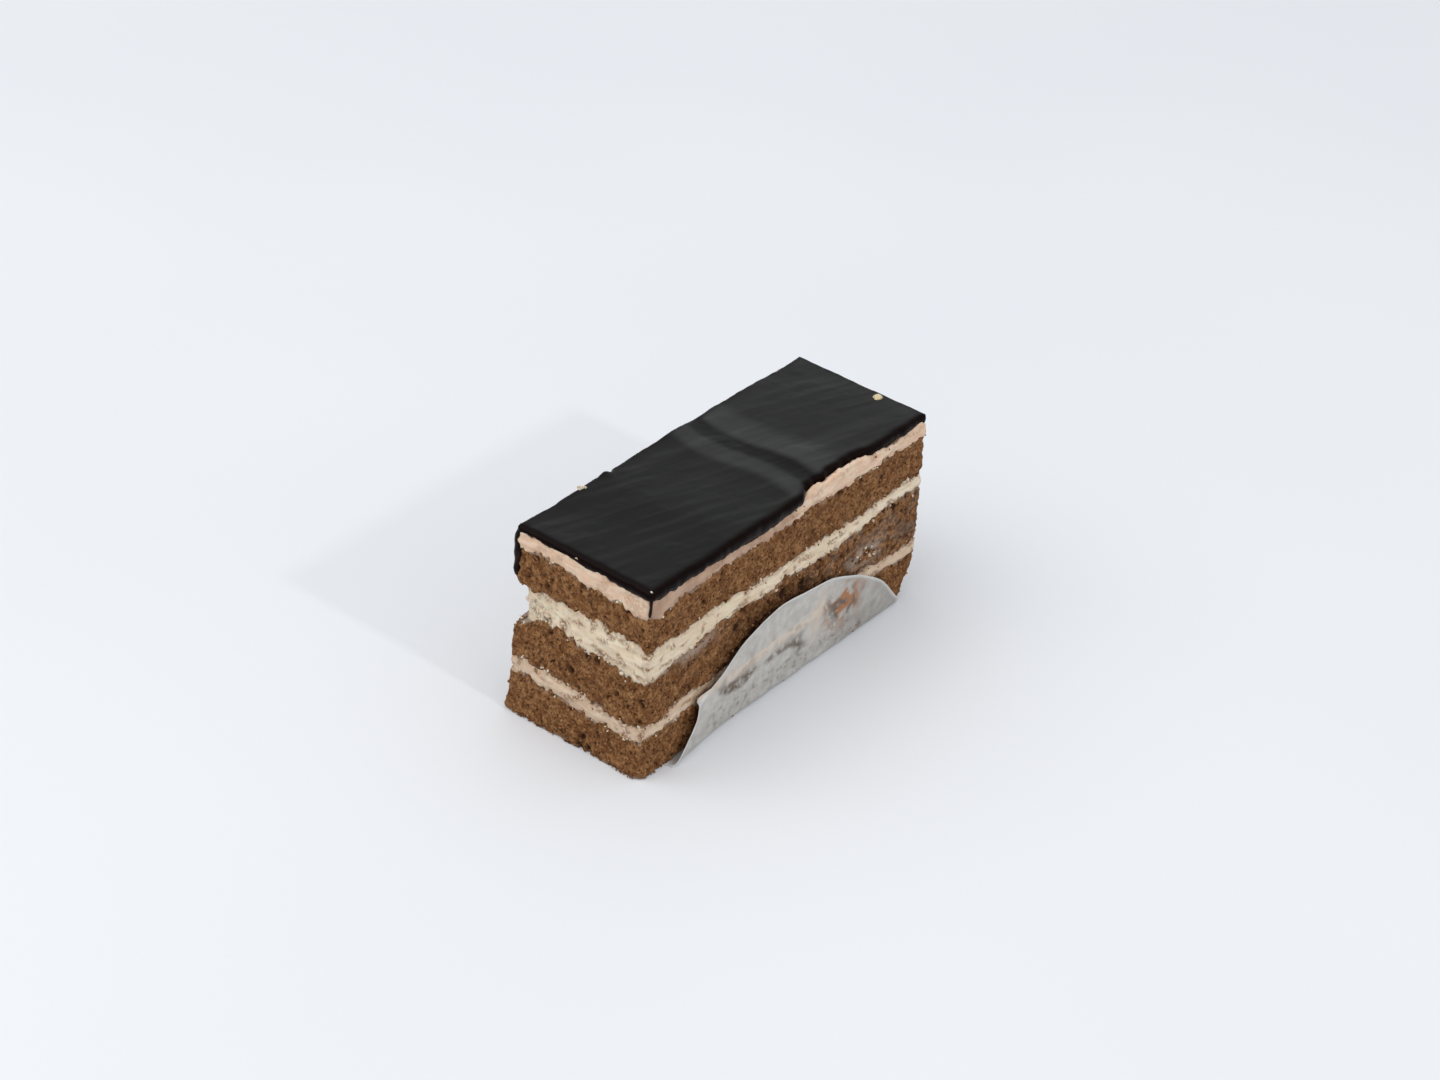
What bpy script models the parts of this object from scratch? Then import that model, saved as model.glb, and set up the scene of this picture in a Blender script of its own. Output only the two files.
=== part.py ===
"""A bar-shaped slice of layered chocolate cake, standing on its greaseproof liner.

Three cocoa sponges and three layers of buttercream lie under a dark chocolate glaze.
Metres, +Z up. X runs along the slice: -X is the near cut end, +X the far one. The origin
is on the table, under the middle of the slice and its liner.
"""

import math
from collections import namedtuple

import bmesh
import bpy
from mathutils import Vector, noise

LENGTH = 0.112
WIDTH = 0.042
CORNER_RADIUS = 0.0012
CORNER_STEPS = 2
OUTLINE_STEP = 0.0031
GAP = 0.0003
RIM = 0.009
SLACK = 1e-6

LINER_THICKNESS = 0.0003
LINER_COLUMNS = 16
FOLD_RADIUS = 0.0012
FOLD_STEPS = 3
FLAP_TOP = 0.0252
FLAP_ROWS = 7
FLAP_PEAK_X = -0.001
NEAR_REACH = 0.040
FAR_REACH = 0.055
NEAR_ARCH = 0.65
FAR_ARCH = 0.75
FLAP_BULGE = 0.0015
FLAP_RIPPLE = 0.0003
NEAR_TONGUE = 0.006
FAR_TONGUE = 0.007

GLAZE_THICKNESS = 0.0020
GLAZE_ROUNDING = 0.0009
GLAZE_SHORTFALL = 0.0026
LIP_WIDTH = 0.0013
LIP_HEIGHT = 0.0014

FAR_SPREAD = 0.0024
HIDDEN_SPREAD = 0.0014
BOTTOM_ROUNDING = 0.0008
CRUSHED_DEPTH = 0.007
WORN_DEPTH = 0.002
BROKEN_DEPTH = 0.0042

# A surface between two layers, as its height under the middle of the slice. It rises by rise_far
# from the near end to the far one, by rise_side from -Y to +Y, and waves by wave round the rim.
Seam = namedtuple("Seam", "height rise_far rise_side wave wavelength phase")
SEAMS = {
    "floor": Seam(LINER_THICKNESS + GAP / 2, 0, 0, 0, 0.050, 0),
    "low_cream_under": Seam(0.0126, 0.0018, 0.0009, 0.0003, 0.040, 0.4),
    "low_cream_over": Seam(0.0166, 0.0026, 0.0014, 0.0005, 0.048, 2.0),
    "mid_cream_under": Seam(0.0326, 0.0040, 0.0015, 0.0011, 0.068, -1.33),
    "mid_cream_over": Seam(0.0391, 0.0008, 0.0015, 0.0003, 0.045, 0.9),
    "top_cream_under": Seam(0.0498, 0.0016, 0.0010, 0.0009, 0.130, 1.7),
    "glaze_under": Seam(0.0533, 0.0012, 0.0010, 0.0003, 0.060, 1.1),
}

Finish = namedtuple("Finish", "name colour roughness")
COCOA_SPONGE = Finish("cocoa_sponge", (0.17, 0.075, 0.033), 0.95)
BUTTERCREAM = Finish("buttercream", (0.62, 0.47, 0.35), 0.55)
CHOCOLATE_GLAZE = Finish("chocolate_glaze", (0.016, 0.010, 0.008), 0.18)
GREASEPROOF = Finish("greaseproof", (0.60, 0.60, 0.58), 0.40)


def clamp(value):
    return max(0.0, min(1.0, value))


def ease(value):
    """0 to 1 with no corner at either end."""
    share = clamp(value)
    return share * share * (3 - 2 * share)


def bell(distance, reach):
    return math.exp(-((distance / reach) ** 2))


def speckle(place, size):
    """Smooth noise from 0 to 1, with lumps of about a given size."""
    return 0.5 + 0.5 * noise.noise(place / size)


def rim_share(x, y):
    """1 at the outline and 0 from RIM inwards, so the hidden middle of each seam is flat."""
    return clamp(1 - min(LENGTH / 2 - abs(x), WIDTH / 2 - abs(y)) / RIM)


def seam_height(name, x, y):
    seam = SEAMS[name]
    slope = seam.rise_far * x / LENGTH + seam.rise_side * y / WIDTH
    wave = seam.wave * math.sin(2 * math.pi * (x + 0.6 * y) / seam.wavelength + seam.phase)
    return seam.height + (slope + wave) * rim_share(x, y)


def bare_strip(x):
    """1 along the far half of the -Y top edge, where the glaze stops short and the cream shows."""
    return ease((x - 0.002) / 0.004) * (1 - 0.5 * ease((x - 0.038) / 0.010))


def glaze_top(x, y):
    """The glaze's upper surface, with the cross waves that the palette knife left."""
    climb = 0.0008 * x / LENGTH
    ridge = 0.0005 * bell(x - 0.003, 0.0045)
    step = 0.0005 * ease((x - 0.010) / 0.007) - 0.0003 * ease((x - 0.024) / 0.030)
    swell = 0.00015 * math.sin(2 * math.pi * (x + 0.3 * y) / 0.031)
    side_lift = 0.0005 * clamp(2 * y / WIDTH) * bell(x + 0.002, 0.025)
    level = SEAMS["glaze_under"].height + GLAZE_THICKNESS
    return level + climb + ridge + step + swell + side_lift


def settled(point):
    """The slice leans out towards the far end and the +Y side, most of all at the table."""
    low = clamp(1 - point.z / SEAMS["glaze_under"].height)
    far = clamp(2 * point.x / LENGTH) ** 2
    side = clamp(2 * point.y / WIDTH)
    return point + Vector((FAR_SPREAD * low * far, HIDDEN_SPREAD * low * side, 0))


def outline():
    """Points round the slice, counter-clockwise: four straight runs joined by small round corners."""
    half_x, half_y = LENGTH / 2 - CORNER_RADIUS, WIDTH / 2 - CORNER_RADIUS
    centres = [(half_x, half_y), (-half_x, half_y), (-half_x, -half_y), (half_x, -half_y)]
    points = []
    for corner, centre in enumerate(centres):
        for step in range(CORNER_STEPS + 1):
            angle = math.pi / 2 * (corner + step / CORNER_STEPS)
            points.append(Vector(centre) + CORNER_RADIUS * Vector((math.cos(angle), math.sin(angle))))
        run = 2 * (half_y if corner % 2 else half_x)
        steps = round(run / OUTLINE_STEP)
        along = Vector((-math.sin(angle), math.cos(angle)))
        start = points[-1]
        points += [start + along * run * step / steps for step in range(1, steps)]
    return points


def inward(x, y):
    """The direction into the slice from a place on its outline."""
    beyond_x = max(0.0, abs(x) - (LENGTH / 2 - CORNER_RADIUS))
    beyond_y = max(0.0, abs(y) - (WIDTH / 2 - CORNER_RADIUS))
    return -Vector((math.copysign(beyond_x, x), math.copysign(beyond_y, y), 0)).normalized()


def crumb(x, y, z):
    """The torn crumb of a cut sponge."""
    place = Vector((x, y, z))
    return inward(x, y) * (0.0004 * speckle(place, 0.010) + 0.0006 * speckle(place, 0.0032))


def smear(x, y, z):
    """A layer of cream, dragged along by the knife."""
    return inward(x, y) * (0.0002 + 0.0007 * speckle(Vector((x, y, 2 * z)), 0.009))


def broken_corner(x, y):
    """What is missing at the upright edge between the near end and the +Y side."""
    return Vector((1, -1, 0)) * BROKEN_DEPTH * bell(x + LENGTH / 2, 0.010) * bell(y - WIDTH / 2, 0.010)


def bottom_relief(x, y, z):
    """The crumb, with a rounded lower edge, a crushed far end and a worn near corner."""
    rounded = inward(x, y) * BOTTOM_ROUNDING * clamp(1 - z / 0.003)
    crushed = CRUSHED_DEPTH * clamp(1 - z / 0.010) * ease((x - 0.036) / 0.020) * (0.7 - 0.6 * y / WIDTH)
    worn = WORN_DEPTH * clamp(1 - z / 0.005) * bell(x + LENGTH / 2, 0.006) * bell(y + WIDTH / 2, 0.006)
    return crumb(x, y, z) + rounded + Vector((worn - crushed, worn, 0))


def middle_relief(x, y, z):
    """The crumb, with the upper part of one near corner broken away."""
    return crumb(x, y, z) + broken_corner(x, y) * ease((z - 0.023) / 0.008)


def middle_cream_relief(x, y, z):
    return smear(x, y, z) + broken_corner(x, y)


def glaze_relief(x, y, z):
    """The glaze's rounded upper edge, and the stretch where it stops short of the -Y side."""
    above = clamp((z - SEAMS["glaze_under"].height) / GLAZE_THICKNESS)
    rounding = GLAZE_ROUNDING * (1 - math.sqrt(1 - above ** 4))
    ragged = 0.0003 * speckle(Vector((x, y, 0)), 0.006)
    short = GLAZE_SHORTFALL * bare_strip(x) * ease(1 - (y + WIDTH / 2) / 0.004)
    return inward(x, y) * (rounding + ragged) + Vector((0, short, 0))


def surface_material(finish):
    material = bpy.data.materials.get(finish.name) or bpy.data.materials.new(finish.name)
    material.use_nodes = True
    shader = material.node_tree.nodes["Principled BSDF"]
    shader.inputs["Base Color"].default_value = (*finish.colour, 1)
    shader.inputs["Roughness"].default_value = finish.roughness
    shader.inputs["Metallic"].default_value = 0
    return material


def add_object(name, bm, finish):
    bmesh.ops.recalc_face_normals(bm, faces=bm.faces)
    mesh = bpy.data.meshes.new(name)
    bm.to_mesh(mesh)
    bm.free()
    mesh.materials.append(surface_material(finish))
    obj = bpy.data.objects.new(name, mesh)
    bpy.context.scene.collection.objects.link(obj)
    return obj


def add_rings(bm, cap, insets):
    """Insets a cap in steps, by the same distance from each side of the slice."""
    reached = 0.0
    for inset in insets:
        shrink = [(size / 2 - inset) / (size / 2 - reached) for size in (LENGTH, WIDTH)]
        bmesh.ops.inset_individual(bm, faces=[cap], thickness=0)
        bmesh.ops.scale(bm, vec=(*shrink, 1), verts=cap.verts)
        reached = inset


def add_ribs(bm, cap):
    """Joins the cap's two long sides with ribs, so that waves can run over it."""
    reach = max(vertex.co.y for vertex in cap.verts) - SLACK
    sides = [[v for v in cap.verts if v.co.y * side > reach] for side in (-1, 1)]
    ends = [sorted(side, key=lambda vertex: vertex.co.x) for side in sides]
    for pair in zip(*ends):
        bmesh.ops.connect_vert_pair(bm, verts=list(pair))


def slab(rows, insets, ribbed=False):
    """A block on the slice's outline, one unit high, and the vertices of its wall."""
    bm = bmesh.new()
    floor = bm.faces.new([bm.verts.new((*point, 0)) for point in outline()])
    raised = bmesh.ops.extrude_face_region(bm, geom=[floor])["geom"]
    roof = next(item for item in raised if isinstance(item, bmesh.types.BMFace))
    bmesh.ops.translate(bm, vec=(0, 0, 1), verts=roof.verts)
    uprights = [edge for edge in bm.edges if edge.verts[0].co.z != edge.verts[1].co.z]
    bmesh.ops.subdivide_edges(bm, edges=uprights, cuts=rows - 1, use_grid_fill=True)
    wall = set(bm.verts)
    for cap in (floor, roof):
        add_rings(bm, cap, insets)
    if ribbed:
        add_ribs(bm, roof)
    return bm, wall


def shape_slab(bm, wall, under, over, relief, lift=None):
    """Carries a unit slab to its place between two surfaces, and roughens its wall."""
    for vertex in bm.verts:
        x, y, share = vertex.co
        raised = 0.0
        if vertex in wall:
            height = under(x, y) + share * (over(x, y) - under(x, y))
            raised = lift(x, y) * share if lift else 0.0
            x, y, _ = Vector((x, y, 0)) + relief(x, y, height)
        base = under(x, y) + GAP / 2
        top = over(x, y) - GAP / 2
        vertex.co = settled(Vector((x, y, base + share * (top - base) + raised)))


def seam_surface(name):
    return lambda x, y: seam_height(name, x, y)


def build_layer(name, under, over, rows, relief, finish):
    bm, wall = slab(rows, [RIM])
    shape_slab(bm, wall, seam_surface(under), seam_surface(over), relief)
    return add_object(name, bm, finish)


def cream_lip(x, y):
    """The top cream stands up along the edge where the glaze stops short."""
    return LIP_HEIGHT * bare_strip(x) ** 2 if y < SLACK - WIDTH / 2 else 0.0


def build_top_cream():
    bm, wall = slab(2, [LIP_WIDTH, RIM])
    shape_slab(bm, wall, seam_surface("top_cream_under"), seam_surface("glaze_under"), smear, cream_lip)
    return add_object("cream_top", bm, BUTTERCREAM)


def build_glaze():
    bm, wall = slab(4, [RIM], ribbed=True)
    shape_slab(bm, wall, seam_surface("glaze_under"), glaze_top, glaze_relief)
    return add_object("glaze", bm, CHOCOLATE_GLAZE)


def flap_ends(height):
    """The near and far ends of the liner at a height, as X: an arch with a steeper near side."""
    share = clamp(height / FLAP_TOP)
    near = NEAR_REACH * math.sqrt(1 - share ** (1 / NEAR_ARCH))
    far = FAR_REACH * math.sqrt(1 - share ** (1 / FAR_ARCH))
    return FLAP_PEAK_X - near, FLAP_PEAK_X + far


def flap_stand(x, height):
    """How far a flap stands off the slice: it clings at both ends and bellies out in the middle."""
    share = clamp(height / FLAP_TOP)
    belly = FLAP_BULGE * bell(x - FLAP_PEAK_X, 0.026) * math.sin(0.62 * math.pi * share)
    ripple = FLAP_RIPPLE * (1 + math.sin(2 * math.pi * x / 0.023)) / 2
    return belly + ripple * share


def liner_profile():
    """The liner's rows from the -Y flap's top, under the slice, to the +Y flap's top, as (Y, Z, under).

    Y is the place across an unsettled slice, and under runs from 0 at the folds to 1 halfway between.
    """
    wall = WIDTH / 2 + 2 * GAP
    rise = FLAP_TOP * 0.985 - FOLD_RADIUS
    half = []
    for row in range(FLAP_ROWS, 0, -1):
        half.append((wall, FOLD_RADIUS + rise * math.sin(math.pi / 2 * row / FLAP_ROWS), 0.0))
    for step in range(FOLD_STEPS + 1):
        angle = math.pi / 2 * step / FOLD_STEPS
        turned = FOLD_RADIUS * (1 - math.cos(angle))
        half.append((wall - turned, FOLD_RADIUS * (1 - math.sin(angle)), 0.0))
    half.append((wall / 2, 0.0, 0.75))
    return [(-y, z, under) for y, z, under in half] + [(0.0, 0.0, 1.0)] + half[::-1]


def build_liner():
    """One thin sheet that lies under the slice and is folded up against both long sides."""
    profile = liner_profile()
    bm = bmesh.new()
    bmesh.ops.create_grid(bm, x_segments=LINER_COLUMNS, y_segments=len(profile) - 1, size=1)
    for vertex in bm.verts:
        y, z, under = profile[round((vertex.co.y + 1) / 2 * (len(profile) - 1))]
        near, far = flap_ends(z)
        near -= NEAR_TONGUE * under
        far += FAR_TONGUE * under
        x = near + (far - near) * (vertex.co.x + 1) / 2
        stand = flap_stand(x, z) + (HIDDEN_SPREAD if y > 0 else 0.0)
        vertex.co = (x, y + math.copysign(stand, y) * (1 - under), z)
    bmesh.ops.recalc_face_normals(bm, faces=bm.faces)
    bmesh.ops.solidify(bm, geom=bm.faces, thickness=LINER_THICKNESS)
    return add_object("liner", bm, GREASEPROOF)


def stand_on_origin(objects):
    """Moves the slice so that the middle of its footprint is the origin."""
    corners = [Vector(corner) for obj in objects for corner in obj.bound_box]
    low = Vector([min(corner[axis] for corner in corners) for axis in range(3)])
    high = Vector([max(corner[axis] for corner in corners) for axis in range(3)])
    middle = (low + high) / 2
    for obj in objects:
        obj.location = (-middle.x, -middle.y, -low.z)


def main():
    for obj in list(bpy.data.objects):
        bpy.data.objects.remove(obj)
    stand_on_origin([
        build_liner(),
        build_layer("sponge_bottom", "floor", "low_cream_under", 4, bottom_relief, COCOA_SPONGE),
        build_layer("cream_lower", "low_cream_under", "low_cream_over", 2, smear, BUTTERCREAM),
        build_layer("sponge_middle", "low_cream_over", "mid_cream_under", 5, middle_relief, COCOA_SPONGE),
        build_layer("cream_middle", "mid_cream_under", "mid_cream_over", 3, middle_cream_relief, BUTTERCREAM),
        build_layer("sponge_top", "mid_cream_over", "top_cream_under", 4, crumb, COCOA_SPONGE),
        build_top_cream(),
        build_glaze(),
    ])


main()
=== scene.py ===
import math
import random
from collections import namedtuple

import bmesh
import bpy
from mathutils import Euler, Matrix, Quaternion, Vector, noise


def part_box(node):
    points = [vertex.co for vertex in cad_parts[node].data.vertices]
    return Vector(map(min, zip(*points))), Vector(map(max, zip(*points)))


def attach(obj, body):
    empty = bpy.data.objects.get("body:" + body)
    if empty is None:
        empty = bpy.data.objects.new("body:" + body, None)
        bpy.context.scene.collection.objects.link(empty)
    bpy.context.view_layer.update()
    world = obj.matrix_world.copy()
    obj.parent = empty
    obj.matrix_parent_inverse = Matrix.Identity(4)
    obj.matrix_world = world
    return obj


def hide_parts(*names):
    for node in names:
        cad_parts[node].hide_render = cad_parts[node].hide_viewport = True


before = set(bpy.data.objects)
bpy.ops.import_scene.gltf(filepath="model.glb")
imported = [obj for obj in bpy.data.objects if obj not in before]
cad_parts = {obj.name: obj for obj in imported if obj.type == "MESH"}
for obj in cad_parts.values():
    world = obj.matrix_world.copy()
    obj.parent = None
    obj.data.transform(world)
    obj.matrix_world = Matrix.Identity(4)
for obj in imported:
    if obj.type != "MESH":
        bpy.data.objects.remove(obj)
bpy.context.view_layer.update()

# Everything is modelled round the middle of the slice, in metres, with -X at the near cut end and
# -Y at the side that shows the liner's flap. Each finished piece is then moved to the frame's place.
glaze_low, glaze_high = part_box("glaze")
SLICE_MIDDLE = Vector(((glaze_low.x + glaze_high.x) / 2, (glaze_low.y + glaze_high.y) / 2, 0))
LENGTH = 0.112
WIDTH = 0.042
CORNER_RADIUS = 0.0012
CORNER_SEGMENTS = 3
# How far in from the outline a layer's waves reach, and the size of the cells on its wall.
RIM = 0.009
CRUMB_STEP = 0.00032
CREAM_STEP = 0.00042
# Without a seed of its own, noise_vector takes one from the clock and the crumb changes each run.
NOISE_SEED = 4

# Camera, as read from the perspective of the slice's edges.
CAMERA_AIM = Vector((0.00674, 0.00618, 0.0275))
CAMERA_DISTANCE = 0.7912
CAMERA_AZIMUTH = math.radians(-54.24)
CAMERA_ELEVATION = math.radians(33.35)
CAMERA_ROLL = math.radians(4.89)
CAMERA_LENS = 77.4

# A surface between two layers: its height under the middle of the slice, its rise to the far end
# and to the +Y side, and its wave round the rim. The two faces that the photograph shows follow
# measured lines in millimetres: (from the near end, height) along -Y and (from +Y, height) across -X.
Seam = namedtuple("Seam", "height rise_far rise_side wave wavelength phase long_side short_side")
FLOOR = Seam(0.00045, 0, 0, 0, 0.050, 0, (), ())
LOW_CREAM_UNDER = Seam(
    0.0126, 0.0018, 0.0009, 0.0003, 0.040, 0.4,
    ((0, 10.7), (8, 12.0), (14, 11.6), (22, 12.0), (60, 12.8), (95, 13.4), (112, 13.2)),
    ((0, 12.0), (12, 11.9), (20, 11.0), (28, 10.0), (36, 9.8), (42, 10.4)),
)
LOW_CREAM_OVER = Seam(
    0.0166, 0.0026, 0.0014, 0.0005, 0.048, 2.0,
    ((0, 14.4), (10, 15.4), (20, 16.2), (60, 16.6), (95, 17.0), (112, 16.2)),
    ((0, 16.2), (10, 16.0), (14, 16.6), (20, 15.6), (26, 14.8), (30, 14.0), (38, 13.6), (42, 14.2)),
)
MID_CREAM_UNDER = Seam(
    0.0326, 0.0040, 0.0015, 0.0011, 0.068, -1.33,
    (
        (0, 28.0), (8, 28.7), (14, 30.2), (22, 31.5), (30, 32.5), (38, 33.0), (46, 31.4), (54, 33.1),
        (62, 32.0), (74, 32.0), (90, 33.4), (98, 34.0), (112, 33.8),
    ),
    ((0, 26.4), (3, 27.6), (7, 30.0), (14, 31.0), (20, 29.9), (28, 28.9), (34, 28.4), (42, 28.2)),
)
MID_CREAM_OVER = Seam(
    0.0391, 0.0008, 0.0015, 0.0003, 0.045, 0.9,
    (
        (0, 36.8), (8, 37.3), (14, 36.7), (22, 37.8), (38, 37.0), (60, 36.6), (74, 37.2), (82, 36.7),
        (98, 37.6), (112, 38.0),
    ),
    ((0, 39.0), (6, 38.6), (10, 39.2), (26, 38.9), (34, 38.6), (42, 37.0)),
)
TOP_CREAM_UNDER = Seam(
    0.0498, 0.0016, 0.0010, 0.0009, 0.130, 1.7,
    (
        (0, 46.6), (8, 47.2), (14, 48.0), (22, 49.0), (38, 49.1), (46, 48.8), (54, 49.6), (66, 49.9),
        (82, 49.5), (94, 50.0), (112, 49.4),
    ),
    ((0, 49.3), (12, 49.0), (20, 48.1), (30, 47.6), (42, 46.8)),
)
GLAZE_UNDER = Seam(
    0.0533, 0.0012, 0.0010, 0.0003, 0.060, 1.1,
    ((0, 52.4), (14, 52.4), (22, 52.9), (30, 52.1), (50, 52.0), (58, 52.9), (80, 53.5), (112, 53.6)),
    ((0, 53.8), (20, 53.4), (42, 52.6)),
)

GLAZE_THICKNESS = 0.0020
# How far the glaze stops short of the bare strip's edge.
GLAZE_SHORTFALL = 0.0026
# How far the slice leans out at the table, how deep it is damaged, and how far its foot spreads.
FAR_SPREAD = 0.0024
SIDE_SPREAD = 0.0014
BROKEN_DEPTH = 0.0022
CRUSHED_DEPTH = 0.007
FOOT_SPREAD = 0.0008
# How far the cream laps the sponge below it and above it, so that no gap shows.
SEAM_LAP = 0.00015
# The teeth that break a seam's line: how high each kind stands and how wide it is.
SEAM_TEETH = ((0.0018, 0.0036), (0.0013, 0.0014), (0.0006, 0.0007))

# Soft-edged places on the long sides. A patch has its middle, from the near end and up, and its
# reach both ways. A stretch has where it starts and ends along the slice, and how softly.
Patch = namedtuple("Patch", "along height reach_along reach_up")
Stretch = namedtuple("Stretch", "start rise end fall")
# The deep holes are cut in and also darkened with painted shade.
DEEP_HOLES = (
    Patch(0.036, 0.0270, 0.0012, 0.0016),
    Patch(0.054, 0.0285, 0.0012, 0.0016),
    Patch(0.062, 0.0270, 0.0012, 0.0016),
)
NEAR_SMEAR = Patch(0.018, 0.0295, 0.008, 0.0022)
FAR_SMEAR = Patch(0.089, 0.0228, 0.006, 0.0022)
# Where the liner's flap casts its painted shadow on the middle sponge.
FLAP_SHADOW_STRETCH = Stretch(0.024, 0.008, 0.072, 0.010)

# Marks on the glaze, as places on the slice's plan, and the size of its rolled rim.
RIDGE_X = 0.003
STEP_X = 0.010
BLISTER_X, BLISTER_Y = -0.024, -0.0064
KNOB_X, KNOB_Y = -0.0245, 0.0200
NOTCH_X = -0.0222
NOTCH_DEPTH = 0.0011
ROLL_WIDTH = 0.0022
ROLL_DROP = 0.0009
# The glaze's cross bands of painted sheen, for the reflections on the knife's waves: millimetres from the
# near end, and how much painted sheen greys the skin there.
SHEEN_BANDS = (
    (0, 0.11), (28, 0.11), (34, 0.16), (55, 0.18), (58, 0.58), (61, 0.50), (64, 0.0), (67, 0.0),
    (70, 0.70), (74, 0.60), (80, 0.28), (104, 0.22), (108, 0.34), (112, 0.34),
)


# Plain maths

def clamp(value):
    return max(0.0, min(1.0, value))


def ease(value):
    """0 to 1 with no corner at either end."""
    share = clamp(value)
    return share * share * (3 - 2 * share)


def rise(value, start, width):
    """0 up to start and 1 from start + width on, with soft ends."""
    return ease((value - start) / width)


def bell(distance, reach):
    """1 at no distance, about a third at its reach and near 0 from twice its reach."""
    return math.exp(-((distance / reach) ** 2))


def in_patch(patch, along, height):
    """1 in the middle of a patch and 0 well outside it."""
    return bell(along - patch.along, patch.reach_along) * bell(height - patch.height, patch.reach_up)


def in_stretch(stretch, along):
    """1 inside a stretch and 0 past its ends."""
    return rise(along, stretch.start, stretch.rise) * ease((stretch.end - along) / stretch.fall)


def at_seams(share, sharpness):
    """1 at a layer's lower and upper edges. share is 0 at its lower edge and 1 at its upper one."""
    return 1 - ease(min(share, 1 - share) * sharpness)


def speckle(place, size):
    """Smooth noise from 0 to 1, with lumps of about a given size."""
    return 0.5 + 0.5 * noise.noise(place / size)


def chance(place):
    """A fixed number from 0 to 1 for a place, which looks random from one place to the next."""
    return math.sin(place.x * 12.9898 + place.y * 78.233 + place.z * 37.719) * 43758.5453 % 1


# The form of the slice

def rim_share(x, y):
    """1 at the outline and 0 from RIM inwards."""
    return clamp(1 - min(LENGTH / 2 - abs(x), WIDTH / 2 - abs(y)) / RIM)


def along_line(line, at):
    """The value of a measured line at a distance along it, on a smooth curve through its points."""
    last = len(line) - 2
    spot = next((i for i in range(last) if at < line[i + 1][0]), last)
    (here, low), (there, high) = line[spot], line[spot + 1]
    before = line[max(spot - 1, 0)]
    after = line[min(spot + 2, last + 1)]
    span = there - here
    leave = (high - before[1]) / (there - before[0]) * span
    arrive = (after[1] - low) / (after[0] - here) * span
    share = clamp((at - here) / span)
    turn = share * share * (3 - 2 * share)
    return low + (high - low) * turn + share * (1 - share) * (leave * (1 - share) - arrive * share)


def seam_height(seam, x, y):
    """A seam's smooth height: its own rise and wave at the rim, led over to the measured lines."""
    slope = seam.rise_far * x / LENGTH + seam.rise_side * y / WIDTH
    wave = seam.wave * math.sin(2 * math.pi * (x + 0.6 * y) / seam.wavelength + seam.phase)
    height = seam.height + (slope + wave) * rim_share(x, y)
    by_side = clamp(1 - (y + WIDTH / 2) / RIM)
    by_end = clamp(1 - (x + LENGTH / 2) / RIM)
    if not seam.long_side or by_side + by_end == 0:
        return height
    long_height = along_line(seam.long_side, (x + LENGTH / 2) * 1000) / 1000
    short_height = along_line(seam.short_side, (WIDTH / 2 - y) * 1000) / 1000
    seen = (by_side * long_height + by_end * short_height) / (by_side + by_end)
    return height + (seen - height) * ease(max(by_side, by_end))


def ragged_seam(seam, x, y):
    """A seam with the crumbs and fingers of cream that break its line, most of all at the short ends."""
    if seam is FLOOR:
        return 0.0001 + 0.0005 * rise(x, -0.048, 0.008)
    place = Vector((x, y, seam.height))
    tooth = 0.0
    for height, width in SEAM_TEETH:
        tooth += height * (speckle(place, width) - 0.5)
    torn_end = 1 + 0.5 * rise(abs(x), 0.053, 0.002)
    return seam_height(seam, x, y) + tooth * torn_end * rim_share(x, y)


def bare_strip(x):
    """1 along the far half of the -Y top edge, where the glaze stops short and the cream shows."""
    return rise(x, 0.002, 0.005) * (1 - 0.72 * rise(x, 0.026, 0.008))


def glaze_top(x, y):
    """The glaze's upper surface, with the cross waves that the palette knife left and two small bumps."""
    climb = 0.0008 * x / LENGTH
    ridge = 0.0005 * bell(x - RIDGE_X, 0.0045)
    step = 0.0005 * rise(x, STEP_X, 0.007) - 0.0003 * rise(x, 0.024, 0.030)
    swell = 0.00015 * math.sin(2 * math.pi * (x + 0.3 * y) / 0.031)
    side_lift = 0.0005 * clamp(2 * y / WIDTH) * bell(x + 0.002, 0.025)
    blister = 0.00016 * bell(x - BLISTER_X, 0.0011) * bell(y - BLISTER_Y, 0.0005)
    knob = 0.0007 * bell(x - KNOB_X, 0.0012) * bell(y - KNOB_Y, 0.0014)
    return GLAZE_UNDER.height + GLAZE_THICKNESS + climb + ridge + step + swell + side_lift + blister + knob


def settled(point):
    """A place once the slice has leaned out to the far end and the +Y side, most of all at the table."""
    low = clamp(1 - point.z / GLAZE_UNDER.height)
    far = clamp(2 * point.x / LENGTH) ** 2
    side = clamp(2 * point.y / WIDTH)
    return point + Vector((FAR_SPREAD * low * far, SIDE_SPREAD * low * side, 0))


def inward(x, y):
    """The direction into the slice from a place on its outline."""
    beyond_x = max(0.0, abs(x) - (LENGTH / 2 - CORNER_RADIUS))
    beyond_y = max(0.0, abs(y) - (WIDTH / 2 - CORNER_RADIUS))
    return -Vector((math.copysign(beyond_x, x), math.copysign(beyond_y, y), 0)).normalized()


def near_edge(x, y):
    """1 at the upright corner edges of the slice, 0 a little way off."""
    return bell(LENGTH / 2 - abs(x), 0.0016) * bell(WIDTH / 2 - abs(y), 0.0016)


# Shader maths

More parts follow.
